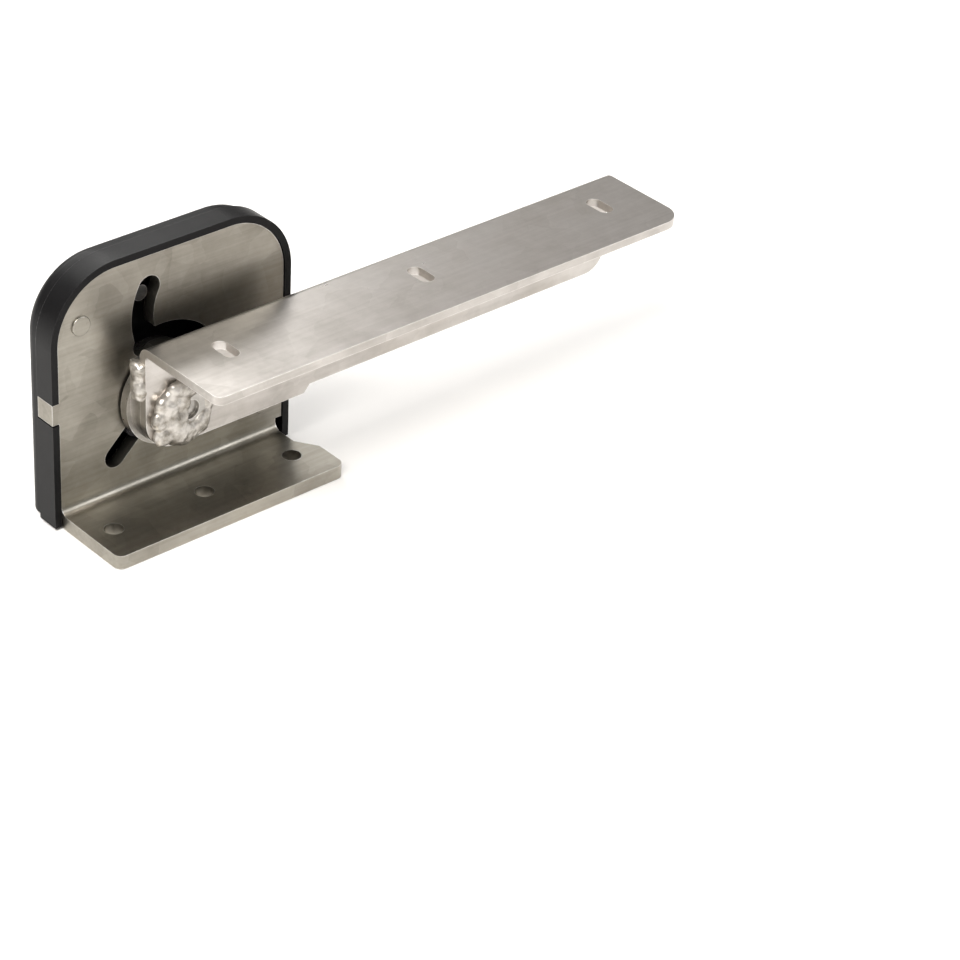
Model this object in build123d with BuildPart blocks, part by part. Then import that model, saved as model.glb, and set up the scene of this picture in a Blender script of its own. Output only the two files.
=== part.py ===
from build123d import *
from math import cos, radians, sin
import os

# Right-hand folding bracket: a bent sheet-metal base, a covered catch behind its
# upright plate, and an L-section arm that folds up about a pin through the plate.
# X runs along the arm, Y from the bolt flange towards the cover, Z up, millimetres.
# The origin is the middle bolt hole, on the underside of the flange.

# Base bracket
sheet = 5.0
plate_width = 89.0
plate_height = 88.0
plate_corner = 22.0
plate_near = 16.5
flange_front = -14.5
flange_corner = 3.0
flange_overhang = 2.5
bend_inside = 3.0
relief_start = -1.0
relief_end = 6.5
relief_inset = 2.5
relief_height = 9.0
bolt_hole = 6.5
bolt_pitch = 36.0
lug_reach = 2.5
lug_depth = 7.8
lug_height = 7.5
lug_z = 42.75

# Pivot, guide slot and follower slot
pivot_x = -4.5
pivot_z = 37.0
swing = 90.0
guide_radius = 20.5
guide_rest = 9.0
slot_start = 8.0
slot_end = 110.0
slot_width = 8.5
pawl_x = 10.0
pawl_z = 66.0
pawl_radius = 22.0
pawl_slot_start = 152.0
pawl_slot_end = 207.0
lock_angle = 160.0
follower_angle = 223.9
follower_slot_width = 8.0
follower_slot_start = 12.5
follower_slot_end = 26.1
follower_rest = 14.0
follower_travel = 6.0

# Arm
arm_sheet = 3.0
arm_left = -20.0
arm_length = 198.5
arm_far = 7.2
arm_width = 40.3
arm_top = 63.6
arm_depth = 36.8
heel_depth = 2.8
heel_end = 44.0
heel_run = 2.5
arm_bend_inside = 1.5
arm_free_corner = 8.0
arm_near_corner = 3.0
arm_heel_radius = 12.0
arm_slot_width = 5.5
arm_slot_length = 11.0
arm_slot_pitch = 80.0
arm_slot_y = -10.7

# Hub and pivot pieces
pin_diameter = 8.0
pin_boss = 16.0
pin_boss_height = 2.6
pin_recess = 7.0
weld_bead = 2.4
edge_weld_bottom = 43.0
edge_weld_length = 15.0
hub_radius = 15.5
hub_thickness = 5.2
washer_gap = 1.0
bush_wall = 1.5
bush_flange = 2.0
bush_flange_thickness = 0.6
cam_thickness = 2.5
cam_low = 9.5
cam_ear = 3.8
guide_pin_diameter = 5.0
ring_thickness = 0.8
ring_wall = 1.4

# Catch pieces
pawl_thickness = 2.5
pawl_half_width = 3.4
tail_angle = -16.0
lock_pin_diameter = 5.6
lock_pin_recess = 3.0
stud_diameter = 3.5
stud_seat = 3.5
post_x = 18.0
post_z = 19.0
post_diameter = 4.0
spring_wire = 1.2
spring_radius = 6.9
spring_turns = 2.0
pawl_spring_wire = 0.6
pawl_spring_turns = 4.0
follower_pin_diameter = 4.0
stop_x = 33.0
stop_z = 40.0
stop_radius = 4.0

# Cover
rim_wall = 2.5
rim_lip = 0.5
rim_behind = 3.0
rim_bottom = 0.8
lid_inset = 1.5
lid_neck = 0.9
lid_neck_height = 1.0
lid_depth = 8.2
lid_wall = 2.2
lid_edge = 4.6
panel_half_width = 31.5
panel_top = 73.0
panel_corner = 3.0
panel_depth = 1.9
panel_wall = 1.5
rivet_diameter = 4.0
rivet_head = 6.8
rivet_head_height = 0.7
rivet_boss = 8.0
rivet_places = ((-35.6, 71.6), (36.2, 16.7))

# Clearances
slip = 0.1
slot_slip = 0.25
face_gap = 0.2
cover_gap = 0.25
cam_gap = 0.5
layer_gap = 0.8

half_plate = plate_width / 2
plate_far = plate_near + sheet
seat_floor = plate_far - stud_seat
cam_near = plate_far + layer_gap
cam_far = cam_near + cam_thickness
pawl_near = cam_far + layer_gap
pawl_far = pawl_near + pawl_thickness
pin_radius = pin_diameter / 2
washer_radius = guide_radius - guide_pin_diameter / 2 - washer_gap
bush_radius = pin_radius + slip / 2 + bush_wall
cam_high = cam_low + follower_travel
follower_roller = follower_rest - cam_low - cam_gap
arm_near = arm_far - arm_sheet
arm_bottom = arm_top - arm_depth
hub_far = arm_far + hub_thickness
rim_near = plate_near - rim_lip
rim_depth = rim_lip + sheet + rim_behind
rim_far = rim_near + rim_depth
lid_far = rim_far + lid_depth
rim_inside = half_plate + cover_gap
rim_outside = rim_inside + rim_wall


def upright(y):
    # Plane across the part at y, seen from the flange side; cuts go away from it with a minus sign
    return Plane.XZ.offset(-y)


def around_pivot(radius, angle):
    return (pivot_x + radius * cos(radians(angle)), pivot_z + radius * sin(radians(angle)))


def around_pawl(radius, angle):
    return (pawl_x + radius * cos(radians(angle)), pawl_z + radius * sin(radians(angle)))


def finish(piece, name):
    piece.part.label = name
    export_step(piece.part, f"parts/{name}.step")


guide_point = around_pivot(guide_radius, guide_rest)
follower_point = around_pivot(follower_rest, follower_angle)
lock_point = around_pawl(pawl_radius, lock_angle)

os.makedirs("parts", exist_ok=True)

# Base: an L of sheet with the plate's two slots, bores for the bush and studs, and a side lug
guide_line = CenterArc((pivot_x, pivot_z), guide_radius, slot_start, slot_end - slot_start)
pawl_line = CenterArc((pawl_x, pawl_z), pawl_radius, pawl_slot_start, pawl_slot_end - pawl_slot_start)
follower_line = Line(around_pivot(follower_slot_start, follower_angle),
                     around_pivot(follower_slot_end, follower_angle))
with BuildPart() as base_bracket:
    with BuildSketch(Plane.YZ.offset(-half_plate)) as base_section:
        Polygon((flange_front, 0), (plate_far, 0), (plate_far, plate_height), (plate_near, plate_height),
                (plate_near, sheet), (flange_front, sheet), align=None)
        fillet(base_section.vertices().sort_by_distance((plate_far, 0))[0], bend_inside + sheet)
        fillet(base_section.vertices().sort_by_distance((plate_near, sheet))[0], bend_inside)
    extrude(amount=plate_width + flange_overhang)
    flange_right = half_plate + flange_overhang
    with BuildSketch(Plane.XY):
        Polygon((flange_right + 1, relief_start), (flange_right, relief_start),
                (half_plate - relief_inset, relief_end), (half_plate - relief_inset, plate_far + 1),
                (flange_right + 1, plate_far + 1), align=None)
    extrude(amount=relief_height, mode=Mode.SUBTRACT)
    with BuildSketch(Plane.XY.offset(relief_height)):
        with Locations((half_plate, relief_end)):
            Rectangle(flange_overhang + 1, plate_far, align=(Align.MIN, Align.MIN))
    extrude(amount=plate_height, mode=Mode.SUBTRACT)
    fillet(base_bracket.edges().filter_by(Axis.Z).group_by(Axis.Y)[0], flange_corner)
    fillet(base_bracket.edges().filter_by(Axis.Y).group_by(Axis.Z)[-1], plate_corner)
    with BuildSketch(upright(plate_near)):
        with Locations((-half_plate, lug_z)):
            Rectangle(lug_reach, lug_height, align=(Align.MAX, Align.CENTER))
    extrude(amount=-lug_depth)
    with BuildSketch(Plane.XY):
        with GridLocations(bolt_pitch, 0, 3, 1):
            Circle(bolt_hole / 2)
    extrude(amount=sheet, mode=Mode.SUBTRACT)
    with BuildSketch(upright(plate_near)):
        SlotArc(guide_line, slot_width)
        SlotArc(pawl_line, slot_width)
        SlotArc(follower_line, follower_slot_width)
        with Locations((pivot_x, pivot_z)):
            Circle(bush_radius)
        with Locations(*rivet_places):
            Circle(rivet_diameter / 2)
    extrude(amount=-sheet, mode=Mode.SUBTRACT)
    with BuildSketch(upright(seat_floor)):
        with Locations((pawl_x, pawl_z)):
            Circle(stud_diameter / 2)
        with Locations((post_x, post_z), (stop_x, stop_z)):
            Circle(post_diameter / 2)
    extrude(amount=-stud_seat, mode=Mode.SUBTRACT)
finish(base_bracket, "base_bracket")

# Arm: an L of sheet with a deeper heel round the pivot and three cross slots
with BuildPart() as arm:
    with BuildSketch(Plane.YZ.offset(arm_left)) as arm_section:
        Polygon((arm_far - arm_width, arm_top - arm_sheet), (arm_near, arm_top - arm_sheet),
                (arm_near, arm_bottom - heel_depth), (arm_far, arm_bottom - heel_depth),
                (arm_far, arm_top), (arm_far - arm_width, arm_top), align=None)
        fillet(arm_section.vertices().sort_by_distance((arm_far, arm_top))[0], arm_bend_inside + arm_sheet)
        fillet(arm_section.vertices().sort_by_distance((arm_near, arm_top - arm_sheet))[0], arm_bend_inside)
    extrude(amount=arm_length)
    arm_right = arm_left + arm_length
    with BuildSketch(upright(arm_near)):
        Polygon((heel_end, arm_bottom - heel_depth), (heel_end + heel_run, arm_bottom),
                (arm_right, arm_bottom), (arm_right, arm_bottom - heel_depth), align=None)
    extrude(amount=-arm_sheet, mode=Mode.SUBTRACT)
    with BuildSketch(Plane.XY.offset(arm_top - arm_sheet)):
        with Locations((0, arm_slot_y), (arm_slot_pitch, arm_slot_y), (2 * arm_slot_pitch, arm_slot_y)):
            SlotOverall(arm_slot_length, arm_slot_width, rotation=90)
    extrude(amount=arm_sheet, mode=Mode.SUBTRACT)
    fillet(arm.edges().filter_by(Axis.Z).group_by(Axis.Y)[0].sort_by(Axis.X)[-1], arm_free_corner)
    fillet(arm.edges().filter_by(Axis.Z).group_by(Axis.Y)[0].sort_by(Axis.X)[0], arm_near_corner)
    low_corners = arm.edges().filter_by(Axis.Y).filter_by_position(Axis.Z, 0, arm_bottom + slip)
    fillet(low_corners.sort_by(Axis.X)[-1], arm_free_corner)
    fillet(low_corners.sort_by(Axis.X)[0], arm_heel_radius)
    with BuildSketch(upright(arm_near)):
        with Locations((pivot_x, pivot_z)):
            Circle(pin_radius)
    extrude(amount=-arm_sheet, mode=Mode.SUBTRACT)
finish(arm, "arm")

# Hub plate welded between the arm and the guide pin, turned round the pivot
with BuildPart() as hub_plate:
    with BuildSketch(upright(arm_far)):
        with Locations((pivot_x, pivot_z)):
            Circle(hub_radius)
        with Locations(guide_point):
            Circle(guide_pin_diameter)
        with Locations((arm_left + hub_radius / 2, arm_top - hub_radius)):
            Rectangle(hub_radius, hub_radius)
        make_hull()
        with Locations((pivot_x, pivot_z)):
            Circle(pin_radius, mode=Mode.SUBTRACT)
        with Locations(guide_point):
            Circle(guide_pin_diameter / 2, mode=Mode.SUBTRACT)
    extrude(amount=-hub_thickness)
finish(hub_plate, "hub_plate")

# Wear washer that turns with the hub, a running gap off the plate
with BuildPart() as wear_washer:
    with BuildSketch(upright(hub_far)):
        with Locations((pivot_x, pivot_z)):
            Circle(washer_radius)
            Circle(pin_radius, mode=Mode.SUBTRACT)
    extrude(amount=-(plate_near - bush_flange_thickness - face_gap - hub_far))
finish(wear_washer, "wear_washer")

# Pivot pin with a recessed boss on the near face of the arm
with BuildPart() as pivot_pin:
    with BuildSketch(upright(arm_near - pin_boss_height)):
        with Locations((pivot_x, pivot_z)):
            Circle(pin_boss / 2)
    extrude(amount=-pin_boss_height)
    with BuildSketch(upright(arm_near)):
        with Locations((pivot_x, pivot_z)):
            Circle(pin_radius)
    extrude(amount=-(pawl_far - arm_near))
    with BuildSketch(upright(arm_near - pin_boss_height)):
        with Locations((pivot_x, pivot_z)):
            Circle(pin_recess / 2)
    extrude(amount=-pin_boss_height / 2, mode=Mode.SUBTRACT)
    fillet(pivot_pin.edges().group_by(Axis.Y)[-1], arm_sheet / 6)
finish(pivot_pin, "pivot_pin")

# Weld bead laid round the pin boss
with BuildPart() as pivot_weld:
    with BuildSketch(Plane((pivot_x, arm_near, pivot_z), x_dir=(1, 0, 0), z_dir=(0, 0, 1))):
        with BuildLine():
            bead_foot = Line((pin_boss / 2, 0), (pin_boss / 2 + weld_bead, 0))
            bead_side = Line((pin_boss / 2, 0), (pin_boss / 2, -weld_bead))
            ThreePointArc(bead_foot @ 1, (pin_boss / 2 + weld_bead * 0.72, -weld_bead * 0.72), bead_side @ 1)
        make_face()
    revolve(axis=Axis((pivot_x, arm_near, pivot_z), (0, 1, 0)))
finish(pivot_weld, "pivot_weld")

# Weld bead down the pivot end of the arm, over the joint with the hub plate
with BuildPart() as edge_weld:
    with BuildSketch(Plane.XY.offset(edge_weld_bottom)):
        with BuildLine():
            Line((arm_left, arm_far + weld_bead), (arm_left, arm_far - weld_bead))
            ThreePointArc((arm_left, arm_far - weld_bead), (arm_left - weld_bead, arm_far),
                          (arm_left, arm_far + weld_bead))
        make_face()
    extrude(amount=edge_weld_length)
    fillet(edge_weld.edges().filter_by(GeomType.CIRCLE), weld_bead / 2)
finish(edge_weld, "edge_weld")

# Guide pin through the curved slot, riveted to the cam plate
with BuildPart() as guide_pin:
    with BuildSketch(upright(arm_far)):
        with Locations(guide_point):
            Circle(guide_pin_diameter / 2)
    extrude(amount=-(cam_far - arm_far))
finish(guide_pin, "guide_pin")

with BuildPart() as guide_roller:
    with BuildSketch(upright(plate_near)):
        with Locations(guide_point):
            Circle(slot_width / 2 - slot_slip)
            Circle(guide_pin_diameter / 2, mode=Mode.SUBTRACT)
    extrude(amount=-sheet)
finish(guide_roller, "guide_roller")

# Cam plate: low round side, a rise that pushes the follower out, and an ear on the guide pin
with BuildPart() as cam_plate:
    with BuildSketch(upright(cam_near)):
        with BuildLine():
            low_side = CenterArc((pivot_x, pivot_z), cam_low, follower_angle, 360 - follower_angle)
            high_side = CenterArc((pivot_x, pivot_z), cam_high, swing / 2, follower_angle - swing * 1.5)
            Line(low_side @ 1, high_side @ 0)
            rise_steps = 8
            rise = [around_pivot(cam_high - follower_travel * i / rise_steps,
                                 follower_angle - swing + swing * i / rise_steps)
                    for i in range(rise_steps + 1)]
            Spline(*rise)
        make_face()
        with Locations((pivot_x, pivot_z)):
            Circle(cam_low)
        ear_hull = Sketch() + [Pos(*guide_point) * Circle(cam_ear, mode=Mode.PRIVATE),
                               Pos(pivot_x, pivot_z) * Circle(cam_ear, mode=Mode.PRIVATE)]
        add(make_hull(ear_hull.edges(), mode=Mode.PRIVATE))
        with Locations((pivot_x, pivot_z)):
            Circle(pin_radius, mode=Mode.SUBTRACT)
        with Locations(guide_point):
            Circle(guide_pin_diameter / 2, mode=Mode.SUBTRACT)
    extrude(amount=-cam_thickness)
finish(cam_plate, "cam_plate")

# Retaining ring on the pivot pin, outside the cam plate
with BuildPart() as retaining_ring:
    with BuildSketch(upright(cam_far)):
        with Locations((pivot_x, pivot_z)):
            Circle(pin_radius + ring_wall)
            Circle(pin_radius, mode=Mode.SUBTRACT)
        with Locations((pivot_x, pivot_z + pin_radius)):
            Rectangle(ring_wall * 2, ring_wall * 4, mode=Mode.SUBTRACT)
    extrude(amount=-ring_thickness)
finish(retaining_ring, "retaining_ring")

# Flanged bush pressed into the plate
with BuildPart() as pivot_bush:
    with BuildSketch(upright(plate_near)):
        with Locations((pivot_x, pivot_z)):
            Circle(bush_radius)
    extrude(amount=-sheet)
    with BuildSketch(upright(plate_near)):
        with Locations((pivot_x, pivot_z)):
            Circle(bush_radius + bush_flange)
    extrude(amount=bush_flange_thickness)
    with BuildSketch(upright(plate_near - bush_flange_thickness)):
        with Locations((pivot_x, pivot_z)):
            Circle(pin_radius + slip / 2)
    extrude(amount=-(sheet + bush_flange_thickness), mode=Mode.SUBTRACT)
finish(pivot_bush, "pivot_bush")

# Follower: a block that slides in the straight slot, its pin and its cam roller
with BuildPart() as follower_block:
    with BuildSketch(upright(plate_near + face_gap)):
        with Locations(follower_point):
            Circle(follower_slot_width / 2 - slip)
            Circle(follower_pin_diameter / 2, mode=Mode.SUBTRACT)
    extrude(amount=-(sheet - 2 * face_gap))
finish(follower_block, "follower_block")

with BuildPart() as follower_pin:
    with BuildSketch(upright(plate_near + face_gap)):
        with Locations(follower_point):
            Circle(follower_pin_diameter / 2)
    extrude(amount=-(cam_far + ring_thickness - plate_near))
finish(follower_pin, "follower_pin")

with BuildPart() as follower_wheel:
    with BuildSketch(upright(cam_near)):
        with Locations(follower_point):
            Circle(follower_roller)
            Circle(follower_pin_diameter / 2, mode=Mode.SUBTRACT)
    extrude(amount=-cam_thickness)
finish(follower_wheel, "follower_wheel")

# Lock pawl with a tail, turning on a stud, and its pin in the curved slot's upper leg
with BuildPart() as lock_pawl:
    with BuildSketch(upright(pawl_near)):
        pawl_ends = Sketch() + [Pos(*lock_point) * Circle(pawl_half_width, mode=Mode.PRIVATE),
                                Pos(pawl_x, pawl_z) * Circle(pawl_half_width * 1.3, mode=Mode.PRIVATE)]
        tail_ends = Sketch() + [Pos(*around_pawl(pawl_radius, tail_angle)) *
                                Circle(pawl_half_width / 2, mode=Mode.PRIVATE),
                                Pos(pawl_x, pawl_z) * Circle(pawl_half_width, mode=Mode.PRIVATE)]
        add(make_hull(pawl_ends.edges(), mode=Mode.PRIVATE))
        add(make_hull(tail_ends.edges(), mode=Mode.PRIVATE))
        with Locations((pawl_x, pawl_z)):
            Circle(stud_diameter / 2 + slip / 2, mode=Mode.SUBTRACT)
        with Locations(lock_point):
            Circle(lock_pin_diameter / 2, mode=Mode.SUBTRACT)
    extrude(amount=-pawl_thickness)
finish(lock_pawl, "lock_pawl")

with BuildPart() as lock_pin:
    with BuildSketch(upright(plate_near + lock_pin_recess)):
        with Locations(lock_point):
            Circle(lock_pin_diameter / 2)
    extrude(amount=-(pawl_far - plate_near - lock_pin_recess))
finish(lock_pin, "lock_pin")

# Pawl stud pressed in a blind seat in the plate, with its end ring
with BuildPart() as pawl_stud:
    with BuildSketch(upright(seat_floor)):
        with Locations((pawl_x, pawl_z)):
            Circle(stud_diameter / 2)
    extrude(amount=-(pawl_far + face_gap + ring_thickness - seat_floor))
finish(pawl_stud, "pawl_stud")

with BuildPart() as pawl_ring:
    with BuildSketch(upright(pawl_far + face_gap)):
        with Locations((pawl_x, pawl_z)):
            Circle(stud_diameter / 2 + ring_wall)
            Circle(stud_diameter / 2, mode=Mode.SUBTRACT)
    extrude(amount=-ring_thickness)
finish(pawl_ring, "pawl_ring")

# Post beside the return spring
with BuildPart() as spring_post:
    with BuildSketch(upright(seat_floor)):
        with Locations((post_x, post_z)):
            Circle(post_diameter / 2)
    extrude(amount=-(pawl_far - seat_floor))
finish(spring_post, "spring_post")

# Return spring coiled round the pivot pin
with BuildPart() as return_spring:
    coil_start = cam_far + spring_wire / 2 + face_gap
    with BuildLine() as coil_path:
        Helix(pitch=spring_wire * 1.25, height=spring_wire * 1.25 * spring_turns, radius=spring_radius,
              center=(pivot_x, coil_start, pivot_z), direction=(0, 1, 0))
    with BuildSketch(Plane(coil_path.wires()[0] @ 0, z_dir=coil_path.wires()[0] % 0)):
        Circle(spring_wire / 2)
    sweep(path=coil_path.wires()[0], is_frenet=True)
finish(return_spring, "return_spring")

# Small coil between the plate and the pawl
with BuildPart() as pawl_spring:
    pawl_coil_radius = stud_diameter / 2 + face_gap + pawl_spring_wire / 2
    pawl_coil_start = plate_far + pawl_spring_wire / 2 + face_gap
    pawl_coil_height = pawl_near - plate_far - pawl_spring_wire - 2 * face_gap
    with BuildLine() as pawl_coil_path:
        Helix(pitch=pawl_coil_height / pawl_spring_turns, height=pawl_coil_height, radius=pawl_coil_radius,
              center=(pawl_x, pawl_coil_start, pawl_z), direction=(0, 1, 0))
    with BuildSketch(Plane(pawl_coil_path.wires()[0] @ 0, z_dir=pawl_coil_path.wires()[0] % 0)):
        Circle(pawl_spring_wire / 2)
    sweep(path=pawl_coil_path.wires()[0], is_frenet=True)
finish(pawl_spring, "pawl_spring")

# Rubber stop buffer on its own stud
with BuildPart() as stop_stud:
    with BuildSketch(upright(seat_floor)):
        with Locations((stop_x, stop_z)):
            Circle(post_diameter / 2)
    extrude(amount=-(cam_far - seat_floor))
finish(stop_stud, "stop_stud")

with BuildPart() as stop_buffer:
    with BuildSketch(upright(plate_far)):
        with Locations((stop_x, stop_z)):
            Circle(stop_radius)
            Circle(post_diameter / 2, mode=Mode.SUBTRACT)
    extrude(amount=-cam_thickness)
finish(stop_buffer, "stop_buffer")

# Cover rim: a wall round the plate's edge, closed under the plate, notched for the lug
with BuildPart() as cover_rim:
    with BuildSketch(upright(rim_near)) as rim_outline:
        with Locations((0, rim_bottom)):
            Rectangle(2 * rim_outside, plate_height + cover_gap + rim_wall - rim_bottom,
                      align=(Align.CENTER, Align.MIN))
        fillet(rim_outline.vertices().group_by(Axis.Y)[-1], plate_corner + cover_gap + rim_wall)
    extrude(amount=-rim_depth)
    with BuildSketch(upright(rim_near)) as plate_room:
        Rectangle(2 * rim_inside, plate_height + cover_gap, align=(Align.CENTER, Align.MIN))
        fillet(plate_room.vertices().group_by(Axis.Y)[-1], plate_corner + cover_gap)
    extrude(amount=-(rim_lip + sheet + cover_gap), mode=Mode.SUBTRACT)
    with BuildSketch(upright(plate_far)) as back_room:
        with Locations((0, rim_bottom + rim_wall)):
            Rectangle(2 * rim_inside, plate_height + cover_gap - rim_bottom - rim_wall,
                      align=(Align.CENTER, Align.MIN))
        fillet(back_room.vertices().group_by(Axis.Y)[-1], plate_corner + cover_gap)
    extrude(amount=-rim_depth, mode=Mode.SUBTRACT)
    with BuildSketch(upright(rim_near)):
        with Locations((-rim_inside, lug_z)):
            Rectangle(2 * rim_wall, lug_height + 2 * cover_gap)
    extrude(amount=-rim_depth, mode=Mode.SUBTRACT)
    fillet(cover_rim.edges().group_by(Axis.Y)[-1].filter_by(GeomType.CIRCLE).sort_by(SortBy.RADIUS)[-1], 0.4)
finish(cover_rim, "cover_rim")

# Cover lid: a shallow box with a raised border round a panel that is open at the bottom
lid_half = rim_outside - lid_inset
lid_top = plate_height + cover_gap + rim_wall - lid_inset
lid_corner = plate_corner + cover_gap + rim_wall - lid_inset
with BuildPart() as cover_lid:
    with BuildSketch(upright(rim_far + lid_neck_height)) as lid_outline:
        with Locations((0, rim_bottom)):
            Rectangle(2 * lid_half, lid_top - rim_bottom, align=(Align.CENTER, Align.MIN))
        fillet(lid_outline.vertices().group_by(Axis.Y)[-1], lid_corner)
    extrude(amount=-(lid_depth - lid_neck_height))
    fillet(cover_lid.edges().group_by(Axis.Y)[-1], lid_edge)
    with BuildSketch(upright(rim_far)) as neck_outline:
        with Locations((0, rim_bottom + lid_neck)):
            Rectangle(2 * (lid_half - lid_neck), lid_top - rim_bottom - 2 * lid_neck,
                      align=(Align.CENTER, Align.MIN))
        fillet(neck_outline.vertices().group_by(Axis.Y)[-1], lid_corner - lid_neck)
    extrude(amount=-lid_neck_height)
    with BuildSketch(upright(lid_far - panel_depth)) as panel_outline:
        Rectangle(2 * panel_half_width, panel_top, align=(Align.CENTER, Align.MIN))
        fillet(panel_outline.vertices().group_by(Axis.Y)[-1], panel_corner)
    extrude(amount=-lid_depth, taper=-30, mode=Mode.SUBTRACT)
    with BuildSketch(upright(rim_far)) as lid_room:
        with Locations((0, rim_bottom + lid_wall)):
            Rectangle(2 * (lid_half - lid_wall), lid_top - rim_bottom - 2 * lid_wall,
                      align=(Align.CENTER, Align.MIN))
        fillet(lid_room.vertices().group_by(Axis.Y)[-1], lid_corner - lid_wall)
    extrude(amount=-(lid_depth - panel_depth - panel_wall), mode=Mode.SUBTRACT)
    with BuildSketch(upright(plate_far)):
        with Locations(*rivet_places):
            Circle(rivet_boss / 2)
    extrude(amount=-(lid_far - panel_depth - panel_wall / 2 - plate_far))
    with BuildSketch(upright(plate_far)):
        with Locations(*rivet_places):
            Circle(rivet_diameter / 2)
    extrude(amount=-lid_depth / 2, mode=Mode.SUBTRACT)
finish(cover_lid, "cover_lid")

# Two rivets that hold the cover's bosses to the plate
with BuildPart() as cover_rivets:
    with BuildSketch(upright(plate_near)):
        with Locations(*rivet_places):
            Circle(rivet_diameter / 2)
    extrude(amount=-(sheet + lid_depth / 2))
    with BuildSketch(upright(plate_near)):
        with Locations(*rivet_places):
            Circle(rivet_head / 2)
    extrude(amount=rivet_head_height)
    fillet(cover_rivets.edges().group_by(Axis.Y)[0], rivet_head_height / 2)
finish(cover_rivets, "cover_rivets")
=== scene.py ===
import bpy
from math import cos, pi, radians, sin
from mathutils import Matrix, Vector


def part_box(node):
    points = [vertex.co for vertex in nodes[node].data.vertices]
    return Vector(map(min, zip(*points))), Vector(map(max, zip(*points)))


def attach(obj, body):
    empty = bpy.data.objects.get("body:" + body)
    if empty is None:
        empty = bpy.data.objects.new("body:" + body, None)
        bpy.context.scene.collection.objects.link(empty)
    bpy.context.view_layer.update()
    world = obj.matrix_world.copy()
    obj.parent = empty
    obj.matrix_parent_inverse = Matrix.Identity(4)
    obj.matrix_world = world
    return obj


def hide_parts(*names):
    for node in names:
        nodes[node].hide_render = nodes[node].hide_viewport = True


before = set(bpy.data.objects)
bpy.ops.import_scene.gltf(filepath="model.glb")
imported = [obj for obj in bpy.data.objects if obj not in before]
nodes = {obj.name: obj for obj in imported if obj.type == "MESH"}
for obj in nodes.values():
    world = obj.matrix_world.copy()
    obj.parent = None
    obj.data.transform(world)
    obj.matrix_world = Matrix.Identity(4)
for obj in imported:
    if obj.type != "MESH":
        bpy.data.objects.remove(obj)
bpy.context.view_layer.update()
print("frame loaded:", len(nodes), "nodes")


# small helpers for node trees

def addNode(tree, kind, **values):
    node = tree.nodes.new(kind)
    for name, value in values.items():
        setattr(node, name, value)
    return node


def groupSockets(group, inputs, outputs):
    for name, value in inputs.items():
        socket = group.interface.new_socket(name, in_out="INPUT", socket_type="NodeSocketFloat")
        socket.default_value = value
    for name, kind in outputs.items():
        group.interface.new_socket(name, in_out="OUTPUT", socket_type=kind)


def noiseAt(tree, vector, scale, detail=4.0, roughness=0.55):
    noise = addNode(tree, "ShaderNodeTexNoise")
    noise.inputs["Detail"].default_value = detail
    noise.inputs["Roughness"].default_value = roughness
    noise.inputs["Scale"].default_value = scale
    tree.links.new(vector, noise.inputs["Vector"])
    return noise


def stretched(tree, vector, scale):
    mapping = addNode(tree, "ShaderNodeMapping")
    mapping.inputs["Scale"].default_value = scale
    tree.links.new(vector, mapping.inputs["Vector"])
    return mapping.outputs["Vector"]


def mathOf(tree, operation, first, second, clamp=False):
    node = addNode(tree, "ShaderNodeMath", operation=operation, use_clamp=clamp)
    for socket, value in zip(node.inputs, (first, second)):
        if isinstance(value, (int, float)):
            socket.default_value = value
        else:
            tree.links.new(value, socket)
    return node.outputs[0]


def remap(tree, value, low, high, outLow=0.0, outHigh=1.0):
    node = addNode(tree, "ShaderNodeMapRange")
    for name, number in (("From Min", low), ("From Max", high), ("To Min", outLow), ("To Max", outHigh)):
        node.inputs[name].default_value = number
    tree.links.new(value, node.inputs["Value"])
    return node.outputs["Result"]


def blendColours(tree, factor, first, second):
    node = addNode(tree, "ShaderNodeMix", data_type="RGBA")
    tree.links.new(factor, node.inputs["Factor"])
    for name, value in (("A", first), ("B", second)):
        socket = [s for s in node.inputs if s.name == name and s.type == "RGBA"][0]
        if isinstance(value, tuple):
            socket.default_value = (*value, 1.0)
        else:
            tree.links.new(value, socket)
    return [s for s in node.outputs if s.type == "RGBA"][0]


# shared effects, each a node group with its own inputs and outputs

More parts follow.
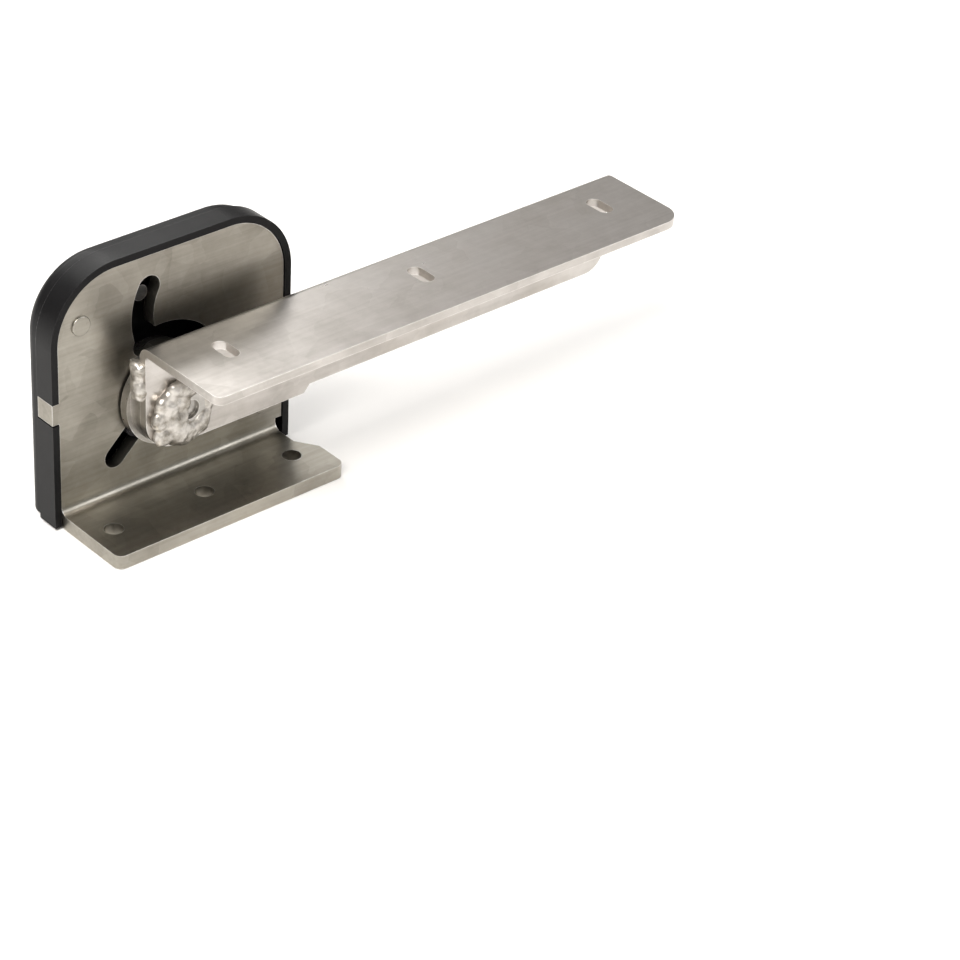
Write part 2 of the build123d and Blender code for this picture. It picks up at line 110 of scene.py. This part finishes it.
def makeSheetGrain():
    # rolled and zinc-plated sheet: soft spangle, cloudy stains and fine streaks along X
    group = bpy.data.node_groups.new("sheetGrain", "ShaderNodeTree")
    groupSockets(group,
                 {"Spangle Scale": 140.0, "Cloud Scale": 38.0, "Spangle": 0.3, "Streak": 0.4, "Cloud": 0.5},
                 {"Tone": "NodeSocketFloat", "Stain": "NodeSocketFloat", "Height": "NodeSocketFloat"})
    inner = addNode(group, "NodeGroupInput").outputs
    coords = addNode(group, "ShaderNodeTexCoord").outputs["Object"]
    warp = noiseAt(group, coords, 90.0, 3.0)
    warped = addNode(group, "ShaderNodeVectorMath", operation="MULTIPLY_ADD")
    group.links.new(warp.outputs["Color"], warped.inputs[0])
    warped.inputs[1].default_value = (0.006, 0.006, 0.006)
    group.links.new(coords, warped.inputs[2])
    cells = addNode(group, "ShaderNodeTexVoronoi")
    group.links.new(inner["Spangle Scale"], cells.inputs["Scale"])
    group.links.new(warped.outputs[0], cells.inputs["Vector"])
    cellTone = addNode(group, "ShaderNodeSeparateColor")
    group.links.new(cells.outputs["Color"], cellTone.inputs["Color"])
    clouds = noiseAt(group, coords, 38.0, 6.0, 0.62)
    group.links.new(inner["Cloud Scale"], clouds.inputs["Scale"])
    streaks = noiseAt(group, stretched(group, coords, (14.0, 420.0, 420.0)), 1.6, 5.0, 0.6)
    spangle = mathOf(group, "MULTIPLY", cellTone.outputs[0], inner["Spangle"])
    streak = mathOf(group, "MULTIPLY", remap(group, streaks.outputs["Fac"], 0.3, 0.7), inner["Streak"])
    cloud = remap(group, clouds.outputs["Fac"], 0.32, 0.68)
    fine = mathOf(group, "ADD", spangle, streak)
    tone = mathOf(group, "ADD", fine, mathOf(group, "MULTIPLY", cloud, inner["Cloud"]), True)
    stain = remap(group, noiseAt(group, coords, 22.0, 8.0, 0.7).outputs["Fac"], 0.52, 0.74)
    out = addNode(group, "NodeGroupOutput")
    group.links.new(tone, out.inputs["Tone"])
    group.links.new(stain, out.inputs["Stain"])
    height = mathOf(group, "ADD", streak, mathOf(group, "MULTIPLY", spangle, 0.6))
    group.links.new(height, out.inputs["Height"])
    return group


def makeEdgeWear():
    # mask of worn or freshly cut edges, broken up by noise
    group = bpy.data.node_groups.new("edgeWear", "ShaderNodeTree")
    groupSockets(group, {"Break Up": 0.5}, {"Mask": "NodeSocketFloat"})
    inner = addNode(group, "NodeGroupInput").outputs
    soft = addNode(group, "ShaderNodeBevel", samples=8)
    soft.inputs["Radius"].default_value = 0.0006
    sharp = addNode(group, "ShaderNodeNewGeometry").outputs["Normal"]
    facing = addNode(group, "ShaderNodeVectorMath", operation="DOT_PRODUCT")
    group.links.new(soft.outputs[0], facing.inputs[0])
    group.links.new(sharp, facing.inputs[1])
    edge = remap(group, facing.outputs["Value"], 0.995, 0.88)
    coords = addNode(group, "ShaderNodeTexCoord").outputs["Object"]
    speckle = remap(group, noiseAt(group, coords, 420.0, 3.0).outputs["Fac"], 0.35, 0.6)
    broken = mathOf(group, "SUBTRACT", 1.0, mathOf(group, "MULTIPLY", speckle, inner["Break Up"]))
    out = addNode(group, "NodeGroupOutput")
    group.links.new(mathOf(group, "MULTIPLY", edge, broken, True), out.inputs["Mask"])
    return group


def makeMouldGrain():
    # fine sparked texture of moulded plastic with a faint haze of dust
    group = bpy.data.node_groups.new("mouldGrain", "ShaderNodeTree")
    groupSockets(group, {"Grain Scale": 2600.0, "Haze Scale": 30.0},
                 {"Grain": "NodeSocketFloat", "Haze": "NodeSocketFloat"})
    inner = addNode(group, "NodeGroupInput").outputs
    coords = addNode(group, "ShaderNodeTexCoord").outputs["Object"]
    grain = noiseAt(group, coords, 2600.0, 2.0)
    group.links.new(inner["Grain Scale"], grain.inputs["Scale"])
    haze = noiseAt(group, coords, 30.0, 7.0, 0.65)
    group.links.new(inner["Haze Scale"], haze.inputs["Scale"])
    out = addNode(group, "NodeGroupOutput")
    group.links.new(grain.outputs["Fac"], out.inputs["Grain"])
    group.links.new(remap(group, haze.outputs["Fac"], 0.35, 0.75), out.inputs["Haze"])
    return group


sheetGrain = makeSheetGrain()
edgeWear = makeEdgeWear()
mouldGrain = makeMouldGrain()


def useGroup(tree, group, **values):
    node = addNode(tree, "ShaderNodeGroup", node_tree=group)
    for name, value in values.items():
        node.inputs[name].default_value = value
    return node


def newMaterial(name, metallic, specular=0.5):
    material = bpy.data.materials.new(name)
    material.use_nodes = True
    tree = material.node_tree
    shader = tree.nodes["Principled BSDF"]
    shader.inputs["Metallic"].default_value = metallic
    shader.inputs["Specular IOR Level"].default_value = specular
    return material, tree, shader


def addBump(tree, shader, height, distance, strength=1.0):
    bump = addNode(tree, "ShaderNodeBump")
    bump.inputs["Strength"].default_value = strength
    bump.inputs["Distance"].default_value = distance
    tree.links.new(height, bump.inputs["Height"])
    tree.links.new(bump.outputs["Normal"], shader.inputs["Normal"])


# plated steels share one recipe with their own tones, gloss and relief
steelFinishes = {
    "zincSheet": {"dark": (0.19, 0.176, 0.148), "light": (0.44, 0.415, 0.365), "stain": (0.22, 0.195, 0.15),
                  "edge": (0.70, 0.685, 0.66), "gloss": (0.28, 0.42), "relief": 0.00003, "wear": 0.55,
                  "spangleScale": 120.0, "cloudScale": 26.0, "spangle": 0.2, "streak": 0.22, "cloud": 0.6},
    "zincArm": {"dark": (0.34, 0.315, 0.29), "light": (0.62, 0.59, 0.56), "stain": (0.36, 0.32, 0.27),
                "edge": (0.76, 0.74, 0.715), "gloss": (0.25, 0.42), "relief": 0.00005, "wear": 0.55,
                "spangleScale": 110.0, "cloudScale": 40.0, "spangle": 0.2, "streak": 0.2, "cloud": 0.62},
    "platedSteel": {"dark": (0.26, 0.245, 0.225), "light": (0.54, 0.52, 0.49), "stain": (0.28, 0.25, 0.21),
                    "edge": (0.74, 0.72, 0.69), "gloss": (0.24, 0.42), "relief": 0.00005, "wear": 0.6,
                    "spangleScale": 260.0, "cloudScale": 80.0, "spangle": 0.2, "streak": 0.35, "cloud": 0.5},
    "springSteel": {"dark": (0.035, 0.034, 0.034), "light": (0.10, 0.098, 0.096), "stain": (0.05, 0.04, 0.03),
                    "edge": (0.30, 0.295, 0.29), "gloss": (0.28, 0.44), "relief": 0.00003, "wear": 0.7,
                    "spangleScale": 400.0, "cloudScale": 120.0, "spangle": 0.15, "streak": 0.5, "cloud": 0.5},
    "bushBronze": {"dark": (0.32, 0.20, 0.09), "light": (0.60, 0.42, 0.20), "stain": (0.18, 0.11, 0.05),
                   "edge": (0.75, 0.58, 0.32), "gloss": (0.30, 0.46), "relief": 0.00003, "wear": 0.5,
                   "spangleScale": 500.0, "cloudScale": 160.0, "spangle": 0.3, "streak": 0.3, "cloud": 0.5},
}


def makeSteel(name):
    finish = steelFinishes[name]
    material, tree, shader = newMaterial(name, 1.0)
    grain = useGroup(tree, sheetGrain, **{"Spangle Scale": finish["spangleScale"],
                                          "Cloud Scale": finish["cloudScale"],
                                          "Spangle": finish["spangle"], "Streak": finish["streak"],
                                          "Cloud": finish["cloud"]})
    wear = useGroup(tree, edgeWear, **{"Break Up": finish["wear"]})
    plate = blendColours(tree, grain.outputs["Tone"], finish["dark"], finish["light"])
    stain = mathOf(tree, "MULTIPLY", grain.outputs["Stain"], 0.4)
    stained = blendColours(tree, stain, plate, finish["stain"])
    colour = blendColours(tree, wear.outputs["Mask"], stained, finish["edge"])
    tree.links.new(colour, shader.inputs["Base Color"])
    low, high = finish["gloss"]
    tree.links.new(remap(tree, grain.outputs["Tone"], 0.0, 1.0, high, low), shader.inputs["Roughness"])
    addBump(tree, shader, grain.outputs["Height"], finish["relief"], 0.7)
    return material


def makeWeldMetal():
    # run and frozen weld: bright crests, dark oxide in the hollows
    material, tree, shader = newMaterial("weldMetal", 1.0)
    coords = addNode(tree, "ShaderNodeTexCoord").outputs["Object"]
    crust = noiseAt(tree, coords, 210.0, 4.0, 0.6).outputs["Fac"]
    pores = noiseAt(tree, coords, 900.0, 3.0).outputs["Fac"]
    weldHollow = (0.26, 0.235, 0.20)
    weldCrest = (0.62, 0.59, 0.55)
    colour = blendColours(tree, remap(tree, crust, 0.34, 0.58), weldHollow, weldCrest)
    tree.links.new(colour, shader.inputs["Base Color"])
    tree.links.new(remap(tree, pores, 0.3, 0.7, 0.36, 0.52), shader.inputs["Roughness"])
    addBump(tree, shader, mathOf(tree, "ADD", crust, mathOf(tree, "MULTIPLY", pores, 0.2)), 0.0004, 0.6)
    return material


plasticFinishes = {
    "coverPlastic": {"base": (0.0035, 0.0034, 0.0038), "dusty": (0.0075, 0.0071, 0.0077),
                     "gloss": (0.34, 0.48), "grainScale": 2400.0, "relief": 0.00006},
    "blackNylon": {"base": (0.014, 0.014, 0.015), "dusty": (0.035, 0.034, 0.033), "gloss": (0.38, 0.52),
                   "grainScale": 3400.0, "relief": 0.00003},
    "bufferRubber": {"base": (0.018, 0.018, 0.018), "dusty": (0.05, 0.048, 0.045), "gloss": (0.66, 0.8),
                     "grainScale": 1800.0, "relief": 0.00008},
}


def makePlastic(name):
    finish = plasticFinishes[name]
    material, tree, shader = newMaterial(name, 0.0, 0.14)
    mould = useGroup(tree, mouldGrain, **{"Grain Scale": finish["grainScale"], "Haze Scale": 28.0})
    wear = useGroup(tree, edgeWear, **{"Break Up": 0.8})
    rubbed = (0.035, 0.034, 0.035)
    dusted = blendColours(tree, mould.outputs["Haze"], finish["base"], finish["dusty"])
    rub = mathOf(tree, "MULTIPLY", wear.outputs["Mask"], 0.35)
    colour = blendColours(tree, rub, dusted, rubbed)
    tree.links.new(colour, shader.inputs["Base Color"])
    low, high = finish["gloss"]
    tree.links.new(remap(tree, mould.outputs["Haze"], 0.0, 1.0, low, high), shader.inputs["Roughness"])
    addBump(tree, shader, mould.outputs["Grain"], finish["relief"], 0.6)
    return material


finishes = {name: makeSteel(name) for name in steelFinishes}
finishes.update({name: makePlastic(name) for name in plasticFinishes})
finishes["weldMetal"] = makeWeldMetal()
print("materials made:", len(finishes))

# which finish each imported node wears
wornBy = {
    "zincSheet": ["base_bracket", "pawl_stud", "spring_post", "stop_stud", "cover_rivets"],
    "zincArm": ["arm"],
    "platedSteel": ["hub_plate", "wear_washer", "pivot_pin", "guide_pin", "cam_plate", "follower_pin",
                    "lock_pawl"],
    "springSteel": ["retaining_ring", "pawl_ring", "return_spring", "pawl_spring", "lock_pin"],
    "bushBronze": ["pivot_bush"],
    "weldMetal": ["pivot_weld", "edge_weld"],
    "blackNylon": ["guide_roller", "follower_block", "follower_wheel"],
    "bufferRubber": ["stop_buffer"],
    "coverPlastic": ["cover_rim", "cover_lid"],
}
for finishName, wearers in wornBy.items():
    for node in wearers:
        nodes[node].data.materials.clear()
        nodes[node].data.materials.append(finishes[finishName])


# new pieces

def deselectAll():
    bpy.ops.object.select_all(action="DESELECT")


def nodeMiddle(node):
    low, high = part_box(node)
    return (Vector(low) + Vector(high)) / 2


def joinPieces(name, made):
    deselectAll()
    for piece in made:
        piece.select_set(True)
    bpy.context.view_layer.objects.active = made[0]
    bpy.ops.object.join()
    piece = bpy.context.view_layer.objects.active
    piece.name = name
    piece.data.name = name
    bpy.ops.object.transform_apply(location=True, rotation=True, scale=True)
    return piece


def blob(place, size, turn=(0.0, 0.0, 0.0)):
    bpy.ops.mesh.primitive_ico_sphere_add(subdivisions=3, radius=1.0, location=place, rotation=turn)
    made = bpy.context.active_object
    made.scale = size
    return made


def meltTogether(piece, sizes):
    # fuse the laid drops, ease them into each other, then roughen them at two sizes
    fuse = piece.modifiers.new("fuse", "REMESH")
    fuse.mode = "VOXEL"
    fuse.voxel_size = sizes["voxel"]
    ease = piece.modifiers.new("ease", "SMOOTH")
    ease.factor = 0.6
    ease.iterations = sizes["ease"]
    for label in ("lump", "ripple"):
        texture = bpy.data.textures.new(piece.name + label, "CLOUDS")
        texture.noise_scale = sizes[label + "Size"]
        push = piece.modifiers.new(label, "DISPLACE")
        push.texture = texture
        push.texture_coords = "LOCAL"
        push.strength = sizes[label]
        push.mid_level = 0.5
    deselectAll()
    piece.select_set(True)
    bpy.context.view_layer.objects.active = piece
    for modifier in [m.name for m in piece.modifiers]:
        bpy.ops.object.modifier_apply(modifier=modifier)
    bpy.ops.object.shade_smooth()


def finishPiece(piece, body, finishName, slot, *replaced):
    piece.data.materials.clear()
    piece.data.materials.append(finishes[finishName])
    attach(piece, body)
    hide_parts(*replaced)


pivotWeldSizes = {"ringRadius": 0.0082, "beadRadius": 0.0030, "drops": 18, "voxel": 0.00035, "ease": 34,
                  "lump": 0.0016, "lumpSize": 0.0060, "ripple": 0.0003, "rippleSize": 0.0020,
                  "armSheet": 0.003, "heavySide": 235, "heavier": 0.35, "uneven": 0.12, "wander": 0.0008,
                  "ringProud": 0.0006, "lapProud": 0.0016}

# drops laid over the ring, each with its place along and up from the pivot, then its radius
pivotWeldLaps = [(-0.0038, -0.0064, 0.0038), (-0.0002, -0.0076, 0.0034), (-0.0068, -0.0025, 0.0037),
                 (-0.0070, 0.0026, 0.0034), (-0.0028, -0.0022, 0.0030), (-0.0022, 0.0026, 0.0028),
                 (0.0030, -0.0068, 0.0029), (0.0058, -0.0046, 0.0022), (-0.0100, -0.0068, 0.0034),
                 (-0.0112, -0.0010, 0.0032), (-0.0098, 0.0050, 0.0029), (-0.0052, 0.0085, 0.0026)]


def makePivotWeld():
    # a hand-laid ring of overlapping drops, heavier below and to the left, lapping over the boss and
    # down to the heel, with a crater left open on the arm's side
    sizes = pivotWeldSizes
    middle = nodeMiddle("pivot_weld")
    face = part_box("arm")[1][1] - sizes["armSheet"]
    drops = []
    for i in range(sizes["drops"]):
        angle = 2 * pi * i / sizes["drops"]
        below = max(0.0, cos(angle - radians(sizes["heavySide"])))
        heavy = 1.0 + sizes["heavier"] * below + sizes["uneven"] * sin(5 * angle)
        radius = sizes["ringRadius"] + sizes["wander"] * sin(3 * angle)
        place = (middle.x + radius * cos(angle), face - sizes["ringProud"], middle.z + radius * sin(angle))
        bead = sizes["beadRadius"] * heavy
        drops.append(blob(place, (bead * 1.2, bead * 0.95, bead * 1.2), (0.0, -angle, 0.0)))
    for along, up, size in pivotWeldLaps:
        place = (middle.x + along, face - sizes["lapProud"], middle.z + up)
        drops.append(blob(place, (size, size * 0.75, size * 1.1)))
    piece = joinPieces("pivotWeldBead", drops)
    meltTogether(piece, sizes)
    finishPiece(piece, "arm", "weldMetal", "weld_metal", "pivot_weld")


edgeWeldSizes = {"drops": 9, "beadRadius": 0.0025, "voxel": 0.0003, "ease": 18,
                 "lump": 0.0012, "lumpSize": 0.0040, "ripple": 0.0003, "rippleSize": 0.0015,
                 "uneven": 0.15, "bedded": 0.0003}


def makeEdgeWeld():
    # a run of scallops down the arm's pivot end, over the joint with the hub plate
    sizes = edgeWeldSizes
    low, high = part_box("edge_weld")
    drops = []
    for i in range(sizes["drops"]):
        share = i / (sizes["drops"] - 1)
        size = sizes["beadRadius"] * (1.0 + sizes["uneven"] * sin(7 * share))
        up = low[2] + size + share * (high[2] - low[2] - 2 * size)
        place = (high[0] - sizes["bedded"], (low[1] + high[1]) / 2, up)
        drops.append(blob(place, (size * 0.9, size * 1.15, size)))
    piece = joinPieces("edgeWeldBead", drops)
    meltTogether(piece, sizes)
    finishPiece(piece, "arm", "weldMetal", "weld_metal", "edge_weld")


makePivotWeld()
makeEdgeWeld()
print("weld beads made")

# floor, light and camera
studio = {"floorSize": 12.0, "floorColour": (0.94, 0.93, 0.915), "lowSky": (0.20, 0.19, 0.175),
          "highSky": (0.95, 0.94, 0.93), "horizon": 0.05, "zenith": 0.75, "worldStrength": 0.75,
          "floorDrop": 0.0002}


def makeFloor():
    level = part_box("base_bracket")[0][2] - studio["floorDrop"]
    bpy.ops.mesh.primitive_plane_add(size=studio["floorSize"], location=(0.1, 0.0, level))
    floor = bpy.context.active_object
    floor.name = "studioFloor"
    deselectAll()
    floor.select_set(True)
    bpy.ops.object.transform_apply(location=True, rotation=True, scale=True)
    material, tree, shader = newMaterial("paperFloor", 0.0, 0.1)
    shader.inputs["Base Color"].default_value = (*studio["floorColour"], 1.0)
    shader.inputs["Roughness"].default_value = 0.9
    floor.data.materials.append(material)


def makeLamp(name, place, aim, power, size, colour):
    lamp = bpy.data.lights.new(name, "AREA")
    lamp.energy = power
    lamp.shape = "RECTANGLE"
    lamp.size, lamp.size_y = size
    lamp.color = colour
    holder = bpy.data.objects.new(name, lamp)
    bpy.context.scene.collection.objects.link(holder)
    holder.location = place
    holder.rotation_euler = (Vector(aim) - Vector(place)).to_track_quat("-Z", "Y").to_euler()


lamps = [
    ("keyLamp", (-0.9, -0.4, 1.3), (0.05, 0.0, 0.03), 30.0, (1.0, 0.7), (1.0, 0.98, 0.95)),
    ("fillLamp", (1.1, -1.0, 0.9), (0.05, 0.0, 0.03), 9.0, (0.9, 0.9), (0.96, 0.98, 1.0)),
    ("backLamp", (0.3, 1.3, 1.0), (0.05, 0.0, 0.03), 12.0, (1.2, 0.6), (1.0, 0.99, 0.97)),
]


def makeWorld():
    # pale overhead, dim at the horizon, so upright steel picks up some depth
    world = bpy.data.worlds.new("studioAir")
    world.use_nodes = True
    tree = world.node_tree
    background = tree.nodes["Background"]
    heights = addNode(tree, "ShaderNodeSeparateXYZ")
    tree.links.new(addNode(tree, "ShaderNodeTexCoord").outputs["Generated"], heights.inputs[0])
    level = remap(tree, heights.outputs["Z"], studio["horizon"], studio["zenith"])
    shade = blendColours(tree, level, studio["lowSky"], studio["highSky"])
    tree.links.new(shade, background.inputs["Color"])
    background.inputs["Strength"].default_value = studio["worldStrength"]
    bpy.context.scene.world = world


shot = {"place": (-0.5254, -0.6906, 0.5742), "yaw": 43.14, "pitch": 32.914, "roll": 3.332, "lens": 119.72,
        "sensor": 36.0}


def makeCamera():
    yaw, pitch, roll = (radians(shot[name]) for name in ("yaw", "pitch", "roll"))
    ahead = Vector((sin(yaw) * cos(pitch), cos(yaw) * cos(pitch), -sin(pitch)))
    right = Vector((cos(yaw), -sin(yaw), 0.0))
    up = right.cross(ahead)
    across = cos(roll) * right + sin(roll) * up
    above = cos(roll) * up - sin(roll) * right
    turn = Matrix((across, above, -ahead)).transposed().to_4x4()
    data = bpy.data.cameras.new("studioCamera")
    data.lens = shot["lens"]
    data.sensor_width = shot["sensor"]
    data.clip_start, data.clip_end = 0.05, 20.0
    camera = bpy.data.objects.new("studioCamera", data)
    bpy.context.scene.collection.objects.link(camera)
    camera.matrix_world = Matrix.Translation(Vector(shot["place"])) @ turn
    bpy.context.scene.camera = camera


makeFloor()
for lampValues in lamps:
    makeLamp(*lampValues)
makeWorld()
makeCamera()
bpy.context.scene.view_settings.view_transform = "Standard"
print("studio made")
